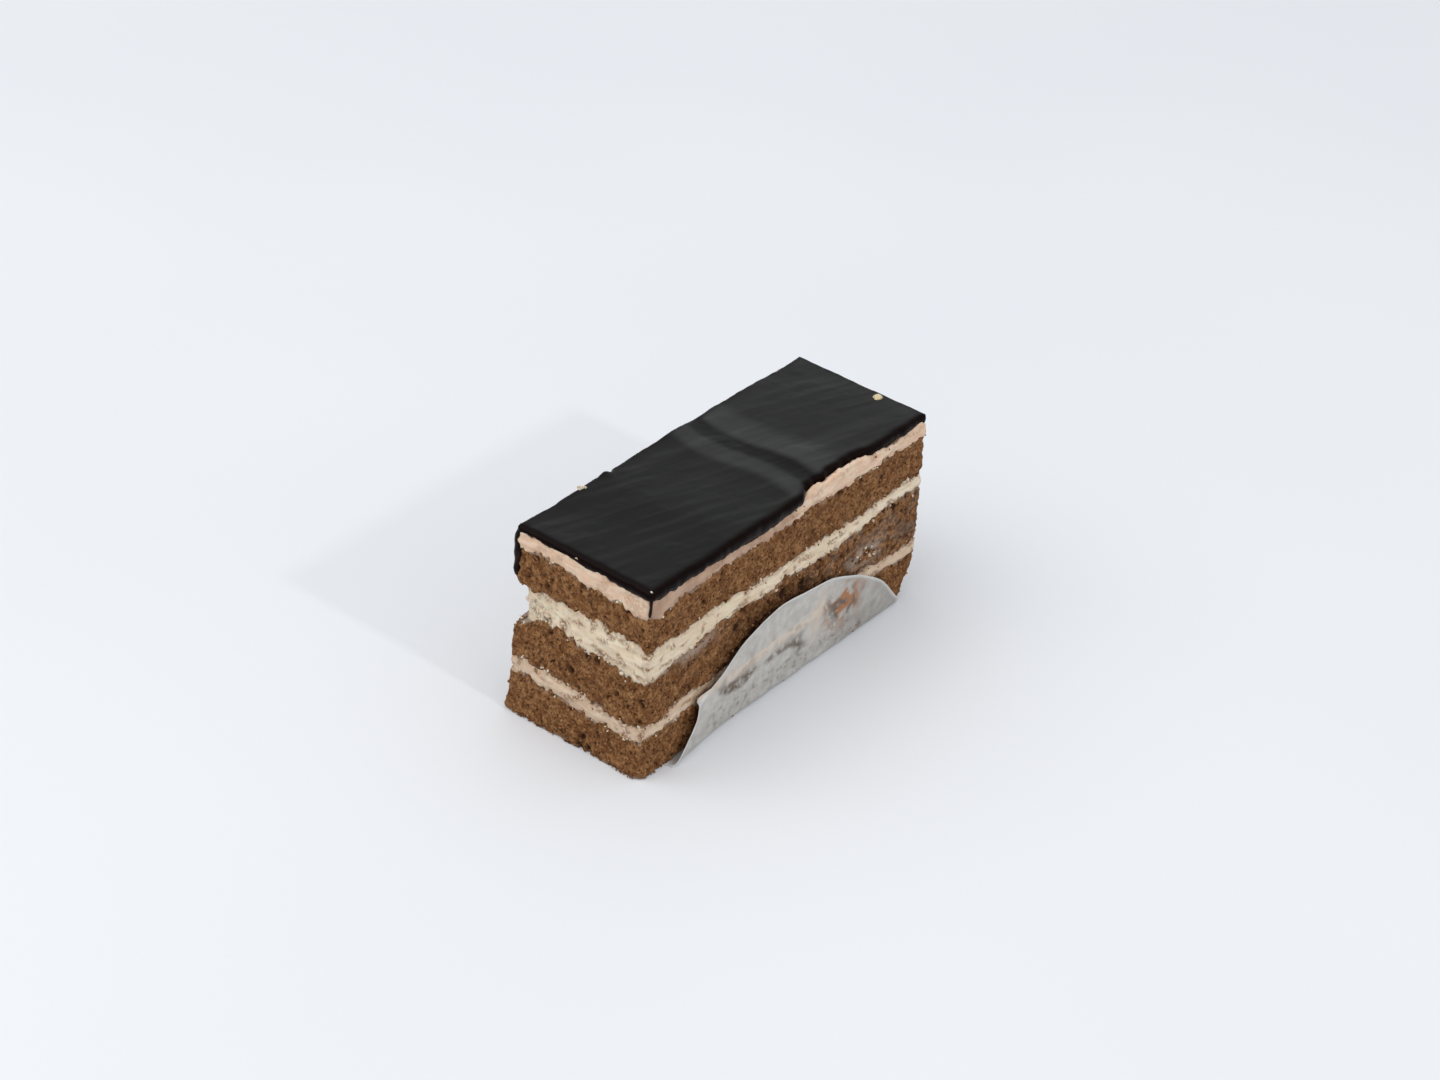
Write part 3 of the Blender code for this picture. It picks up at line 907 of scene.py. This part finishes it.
# Where things stick to the flap. The hidden flap's marks lie a little nearer than the shown one's.
CREAM_BAND = Stretch(0.018, 0.004, 0.074, 0.006)
CRUMB_ROW = Stretch(0.023, 0.004, 0.066, 0.006)
LOW_SPOTS = Stretch(0.020, 0.010, 0.100, 0.020)
SYRUP_BLOTCH = Patch(0.080, 0.0135, 0.0066, 0.0052)
BLOTCH_SURROUND = Patch(0.080, 0.0135, 0.0100, 0.0065)
FAR_SPOT = Patch(0.089, 0.0022, 0.0016, 0.0012)
HIDDEN_SHIFT = 0.009


def flap_ends(height):
    """The near and far ends of the liner at a height, as X."""
    near, far = (along_line(line, height * 1000) / 1000 - LENGTH / 2 for line in (FLAP_NEAR, FLAP_FAR))
    return near, max(near, far)


def flap_height(x):
    """The flap's height at a place along it."""
    ends = FLAP_NEAR if x < FLAP_PEAK_X else FLAP_FAR
    line = sorted((place, height) for height, place in ends)
    return along_line(line, (x + LENGTH / 2) * 1000) / 1000


def flap_stand(x, height):
    """How far a flap stands off the slice.

    It bellies out in the middle, flares at its near foot, clings at the far end and curls along its edge.
    """
    share = clamp(height / FLAP_TOP)
    near, far = flap_ends(height)
    belly = FLAP_BULGE * bell(x - FLAP_PEAK_X, 0.030) * math.sin(0.62 * math.pi * share)
    ripple = 0.0002 * (1 + math.sin(2 * math.pi * x / 0.019)) * share
    crease = 0.0004 * speckle(Vector((x, 0, height)), 0.007)
    flare = FLAP_FLARE * rise(-x, 0.022, 0.024) * (1 - ease(height / 0.017))
    edge = bell(min(x - near, far - x, flap_height(x) - height), 0.0009)
    curl = 0.0007 * edge * (1 - 0.8 * rise(x, 0.010, 0.030))
    return belly + ripple + crease + flare + curl


def build_liner(material):
    """One sheet that passes under the slice and stands up in an arched flap at each long side."""
    cells_along = 150
    cells_across = 180
    bm = bmesh.new()
    layers = [bm.verts.layers.float.new(mark) for mark in LINER_MARKS]
    bmesh.ops.create_grid(bm, x_segments=cells_along, y_segments=cells_across, size=0.5)
    wall = WIDTH / 2 + LINER_GAP
    half_run = (FLAP_TOP * FLAP_KEPT - FOLD_RADIUS) + math.pi / 2 * FOLD_RADIUS + wall - FOLD_RADIUS
    for vertex in bm.verts:
        offset = vertex.co.y * 2
        side = 1 if offset > 0 else -1
        y, z, under = liner_section(half_run * abs(offset))
        near, far = flap_ends(z)
        near -= NEAR_TONGUE * under
        far += FAR_TONGUE * under
        x = near + (far - near) * (vertex.co.x + 0.5)
        lifted = ease(y / wall * 3 - 2)
        stand = (flap_stand(x, z) + (SIDE_SPREAD if side > 0 else 0.0)) * lifted
        place = Vector((x, side * (y + stand), z + LINER_THICKNESS))
        # A painted highlight along the flap's outline.
        edge = bell(min(x - near, far - x, flap_height(x) - z), 0.0007) * lifted
        for layer, value in zip(layers, (*liner_stains(place), edge)):
            vertex[layer] = value
        vertex.co = place
    bmesh.ops.recalc_face_normals(bm, faces=bm.faces)
    bmesh.ops.solidify(bm, geom=bm.faces, thickness=LINER_THICKNESS)
    add_piece("liner_sheet", bm, material, "liner", "liner")


def liner_section(run):
    """How far out and how high the sheet is, a given run from its middle.

    The third value is 1 in the middle of the part that lies under the slice and 0 from the fold on.
    """
    wall = WIDTH / 2 + LINER_GAP
    flat = wall - FOLD_RADIUS
    turn = math.pi / 2 * FOLD_RADIUS
    if run < flat:
        return run, 0.0, 1 - (run / flat) ** 2
    if run < flat + turn:
        angle = (run - flat) / FOLD_RADIUS
        return flat + FOLD_RADIUS * math.sin(angle), FOLD_RADIUS * (1 - math.cos(angle)), 0.0
    return wall, FOLD_RADIUS + run - flat - turn, 0.0


def liner_stains(place):
    """How much cream, cocoa and browned syrup sticks to the liner, and how clear grease has made it."""
    along = place.x + LENGTH / 2 + (HIDDEN_SHIFT if place.y > 0 else 0.0)
    rough = speckle(place, 0.0030)
    fine = speckle(place, 0.0012)
    drawn_out = speckle(Vector((0.45 * place.x, place.y, place.z)), 0.0034)
    band_middle = 0.0146 + 0.0016 * rise(along, 0.022, 0.045) + 0.0004 * math.sin(along * 300)
    band = bell(place.z - band_middle, 0.0016) * in_stretch(CREAM_BAND, along)
    wrinkle = bell(along - 0.0685 - 0.2 * (place.z - 0.015), 0.0018) * bell(place.z - 0.015, 0.006)
    around = in_patch(BLOTCH_SURROUND, along, place.z)
    cream = 1.2 * band * rise(rough, 0.22, 0.25) + 1.1 * wrinkle + 0.5 * around * rise(fine, 0.5, 0.2)
    blotch = in_patch(SYRUP_BLOTCH, along, place.z)
    crumbs = 1.1 * bell(place.z - 0.0106, 0.0030) * in_stretch(CRUMB_ROW, along)
    low_spots = 0.6 * bell(place.z - 0.004, 0.004) * in_stretch(LOW_SPOTS, along)
    high_spots = 0.35 * bell(place.z - 0.0165, 0.0022) * rise(along, 0.030, 0.006)
    cocoa = crumbs * rise(drawn_out, 0.42, 0.20) + in_patch(FAR_SPOT, along, place.z)
    cocoa += 1.5 * blotch * rise(rough, 0.40, 0.16)
    cocoa += low_spots * rise(fine, 0.58, 0.10) + high_spots * rise(rough, 0.55, 0.08)
    syrup = 2.0 * blotch * rise(speckle(place, 0.0035), 0.37, 0.20)
    clear = rise(along, 0.072, 0.016) * (0.4 + 0.5 * rough) + 0.25 * rise(-place.z, -0.008, 0.004)
    return clamp(cream), clamp(cocoa), clamp(syrup), clamp(clear)


# Small things

# How far a drip's upper end is tucked in under the glaze.
DRIP_TUCK = 0.0007
# Each drip: its place on the plan, its upper and lower end, and how thick it is.
DRIPS = {
    "front_drip": (-0.0556, -0.0206, 0.0545, 0.0475, 0.00036),
    "side_drip": (-0.0555, 0.0206, 0.0546, 0.0398, 0.00115),
}
CRUMBS_ON_SPONGE = 1500
CRUMBS_ON_CREAM = 600
CRUMBS_AT_FOOT = 60
DRAGGED_FLECKS = 9
EDGE_FLECKS = 8
CORNER_FLECKS = 70
SEAM_FLECKS = 260
DRAGGED_FLECKS_X, DRAGGED_FLECKS_Z = 0.031, 0.0228
EDGE_FLECKS_PLACE = (-0.0335, 0.0203, 0.0552)
CORNER_FLECK = Vector((-0.0557, -0.0205, 0.0550))
PALE_CRUMB_PLAN = (0.0531, -0.0067)
PALE_CRUMB_RADIUS = 0.0013


def build_drip(name, material, path, radii):
    """A run of glaze down an upright edge: a round thread along a path."""
    bm = bmesh.new()
    start = path[0]
    made = bmesh.ops.create_circle(bm, cap_ends=True, segments=8, radius=1, matrix=Matrix.Translation(start))
    bmesh.ops.scale(bm, vec=(radii[0],) * 3, space=Matrix.Translation(-start), verts=made["verts"])
    face = bm.faces[:][0]
    for here, there, before, after in zip(path, path[1:], radii, radii[1:]):
        made = bmesh.ops.extrude_face_region(bm, geom=[face, *face.edges])["geom"]
        face = next(item for item in made if isinstance(item, bmesh.types.BMFace))
        bmesh.ops.translate(bm, vec=there - here, verts=face.verts)
        grow = after / before
        bmesh.ops.scale(bm, vec=(grow,) * 3, space=Matrix.Translation(-there), verts=face.verts)
    bmesh.ops.recalc_face_normals(bm, faces=bm.faces)
    add_piece(name, bm, material, "glaze")


def build_drips(material):
    """The runs of glaze, which start tucked under its rim, sway and swell, and thin out at their foot."""
    steps = 18
    for name, (x, y, top, bottom, thick) in DRIPS.items():
        path = []
        radii = []
        for step in range(steps + 1):
            share = step / steps
            z = top + (bottom - top) * share
            sway = 0.0006 * (speckle(Vector((x, y, z)), 0.005) - 0.5)
            tucked = DRIP_TUCK * (1 - ease(share * 5))
            path.append(Vector((x - abs(sway) * 0.3 + tucked, y + sway - math.copysign(tucked, y), z)))
            close = math.sqrt(clamp((1 - share) * 6))
            radii.append(thick * (0.55 + 0.9 * speckle(Vector((y, x, z)), 0.0030)) * close + 0.00005)
        build_drip(name, material, path, radii)


def lump(bm, rng, place, radius, rough=0.35):
    """Adds one small broken lump. rough is how far its corners are pushed about, in radii."""
    turn = Euler([rng.uniform(0, 6.28) for _ in range(3)]).to_matrix().to_4x4()
    stretch = Matrix.Diagonal([rng.uniform(0.6, 1.3) for _ in range(3)] + [1])
    matrix = Matrix.Translation(place) @ turn @ stretch
    subdivisions = 2 if radius > 0.0005 else 1
    made = bmesh.ops.create_icosphere(bm, subdivisions=subdivisions, radius=radius, matrix=matrix)
    for vertex in made["verts"]:
        vertex.co += noise.noise_vector(vertex.co / 0.0006) * radius * rough


def outward(place):
    """The direction away from the slice's middle line, level, for a place on its wall."""
    over_x = abs(place.x) - LENGTH / 2 + WIDTH / 2
    if over_x > abs(place.y):
        return Vector((math.copysign(1, place.x), 0, 0))
    return Vector((0, math.copysign(1, place.y), 0))


def build_crumbs(material, sponge_skin, cream_skin):
    """Loose crumbs stuck to the cut faces and lying round the near foot."""
    rng = random.Random(7)
    bm = bmesh.new()
    for place, _ in rng.sample(sponge_skin, CRUMBS_ON_SPONGE):
        radius = rng.uniform(0.00016, 0.00042)
        lump(bm, rng, place + outward(place) * radius * 0.2, radius)
    for place, share in rng.sample(cream_skin, CRUMBS_ON_CREAM):
        radius = rng.uniform(0.00014, 0.00036)
        if rng.random() < 0.15 + 2.2 * (abs(share - 0.5) - 0.2):
            lump(bm, rng, place, radius)
    foot = [place for place, _ in sponge_skin if place.z < 0.0008 and place.x < -0.045]
    for place in rng.sample(foot, CRUMBS_AT_FOOT):
        radius = rng.uniform(0.00015, 0.00038)
        spot = place + outward(place) * rng.uniform(0.0, 0.0005)
        lump(bm, rng, Vector((spot.x, spot.y, radius * 1.2)), radius)
    add_piece("loose_crumbs", bm, material, "sponge")


def build_flecks(material, sponge_skin, cream_skin):
    """Specks of cream: on the middle sponge, the glaze's edge and the broken corner, and along the seams."""
    rng = random.Random(11)
    bm = bmesh.new()
    long_side = [place for place, _ in sponge_skin if place.y < -0.018]
    dragged = [place for place in long_side if bell(place.x - DRAGGED_FLECKS_X, 0.006) > rng.random()]
    dragged = [place for place in dragged if bell(place.z - DRAGGED_FLECKS_Z, 0.0022) > 0.4]
    for place in rng.sample(dragged, DRAGGED_FLECKS):
        radius = rng.uniform(0.0003, 0.0008)
        lump(bm, rng, place - outward(place) * radius * 0.5, radius, 0.9)
    x, y, z = EDGE_FLECKS_PLACE
    for _ in range(EDGE_FLECKS):
        place = Vector((rng.gauss(x, 0.0009), rng.gauss(y, 0.0003), z))
        lump(bm, rng, place, rng.uniform(0.0003, 0.0006), 0.9)
    middle_cream = [place for place, _ in cream_skin if 0.031 < place.z < 0.041]
    corner = [place for place in middle_cream if place.x < -0.046 and place.y > 0.008]
    for place in rng.sample(corner, CORNER_FLECKS):
        radius = rng.uniform(0.0003, 0.0010)
        lump(bm, rng, place - outward(place) * radius * 0.6, radius, 0.9)
    seams = [place for place, share in sponge_skin if min(share, 1 - share) < 0.09 and place.z > 0.003]
    for place in rng.sample(seams, SEAM_FLECKS):
        lump(bm, rng, place, rng.uniform(0.00018, 0.0005), 0.6)
    lump(bm, rng, CORNER_FLECK, 0.00028, 0.9)
    add_piece("cream_flecks", bm, material, "cream")


def build_pale_crumb(material):
    """The one pale crumb on the glaze, near the far end."""
    bm = bmesh.new()
    x, y = PALE_CRUMB_PLAN
    place = Vector((x, y, glaze_top(x, y) - 0.0001))
    spot = Matrix.Translation(place)
    bmesh.ops.create_icosphere(bm, subdivisions=3, radius=PALE_CRUMB_RADIUS, matrix=spot)
    for vertex in bm.verts:
        offset = vertex.co - place
        offset.z *= 0.6
        vertex.co = place + offset + noise.noise_vector(vertex.co / 0.0009) * 0.0005
    add_piece("pale_crumb", bm, material, "cream")


# Studio

WORLD_STRENGTH = 0.86
WORLD_BELOW = (0.66, 0.68, 0.71, 1)
WORLD_ABOVE = (1.0, 1.02, 1.05, 1)
LIGHT_TARGET = Vector((0, 0, 0.02))


def aim(obj, place, target, roll=0.0):
    """Places a camera or a light and turns it to a target."""
    obj.location = place
    obj.rotation_mode = "QUATERNION"
    obj.rotation_quaternion = (target - place).to_track_quat("-Z", "Y") @ Quaternion((0, 0, 1), roll)


def link(name, data):
    obj = bpy.data.objects.new(name, data)
    bpy.context.scene.collection.objects.link(obj)
    return obj


def direction(azimuth, elevation):
    """The unit vector from the slice to a viewer. Azimuth 0 stands at -Y."""
    flat = math.cos(elevation)
    return Vector((math.sin(azimuth) * flat, -math.cos(azimuth) * flat, math.sin(elevation)))


def add_camera():
    data = bpy.data.cameras.new("camera")
    data.lens = CAMERA_LENS
    camera = link("camera", data)
    target = CAMERA_AIM + SLICE_MIDDLE
    place = target + direction(CAMERA_AZIMUTH, CAMERA_ELEVATION) * CAMERA_DISTANCE
    aim(camera, place, target, CAMERA_ROLL)
    bpy.context.scene.camera = camera


def add_area_light(name, azimuth, elevation, distance, size, energy, colour):
    data = bpy.data.lights.new(name, "AREA")
    data.shape = "SQUARE"
    data.size = size
    data.energy = energy
    data.color = colour
    light = link(name, data)
    aim(light, direction(math.radians(azimuth), math.radians(elevation)) * distance, LIGHT_TARGET)


def add_world():
    """A pale grey surround that grows lighter upwards."""
    world = bpy.data.worlds.new("studio")
    bpy.context.scene.world = world
    world.use_nodes = True
    nodes, links = world.node_tree.nodes, world.node_tree.links
    background = nodes["Background"]
    background.inputs["Strength"].default_value = WORLD_STRENGTH
    split = nodes.new("ShaderNodeSeparateXYZ")
    ramp = nodes.new("ShaderNodeValToRGB")
    ramp.color_ramp.elements[0].color = WORLD_BELOW
    ramp.color_ramp.elements[1].color = WORLD_ABOVE
    links.new(nodes.new("ShaderNodeTexCoord").outputs["Generated"], split.inputs[0])
    links.new(split.outputs["Z"], ramp.inputs["Fac"])
    links.new(ramp.outputs["Color"], background.inputs["Color"])


def add_floor():
    bm = bmesh.new()
    bmesh.ops.create_grid(bm, x_segments=1, y_segments=1, size=4)
    mesh = bpy.data.meshes.new("table")
    bm.to_mesh(mesh)
    bm.free()
    mesh.materials.append(table_top())
    floor = link("table", mesh)
    floor.location.z = -0.0001


def add_studio():
    scene = bpy.context.scene
    scene.view_settings.view_transform = "Standard"
    add_camera()
    add_world()
    add_floor()
    add_area_light(
        "big_soft_light", azimuth=-125, elevation=50, distance=1.6, size=1.4, energy=9,
        colour=(1.0, 0.98, 0.95),
    )
    add_area_light(
        "small_side_light", azimuth=-4, elevation=36, distance=1.5, size=0.07, energy=3,
        colour=(1.0, 0.99, 0.97),
    )


def main():
    noise.seed_set(NOISE_SEED)
    add_studio()
    sponge = cocoa_sponge()
    sponge_skin = build_sponge("sponge_bottom", sponge, FLOOR, LOW_CREAM_UNDER, damage=bottom_damage)
    sponge_skin += build_sponge(
        "sponge_middle", sponge, LOW_CREAM_OVER, MID_CREAM_UNDER, filmed=True, damage=middle_damage,
    )
    sponge_skin += build_sponge("sponge_top", sponge, MID_CREAM_OVER, TOP_CREAM_UNDER)
    cream_skin = build_cream(
        "cream_lower", buttercream("lower_cream", *LOWER_CREAM), LOW_CREAM_UNDER, LOW_CREAM_OVER,
        bulge=0.0002,
    )
    cream_skin += build_cream(
        "cream_middle", buttercream("middle_cream", *MIDDLE_CREAM), MID_CREAM_UNDER, MID_CREAM_OVER,
        bulge=0.0003, damage=middle_cream_damage,
    )
    cream_skin += build_top_cream(buttercream("top_cream", *TOP_CREAM))
    build_glaze(chocolate_glaze())
    build_liner(greaseproof())
    build_drips(glaze_drip())
    build_crumbs(loose_crumb(), sponge_skin, cream_skin)
    build_flecks(buttercream("cream_fleck", *CREAM_FLECK), sponge_skin, cream_skin)
    build_pale_crumb(buttercream("pale_crumb", *PALE_CRUMB))


main()
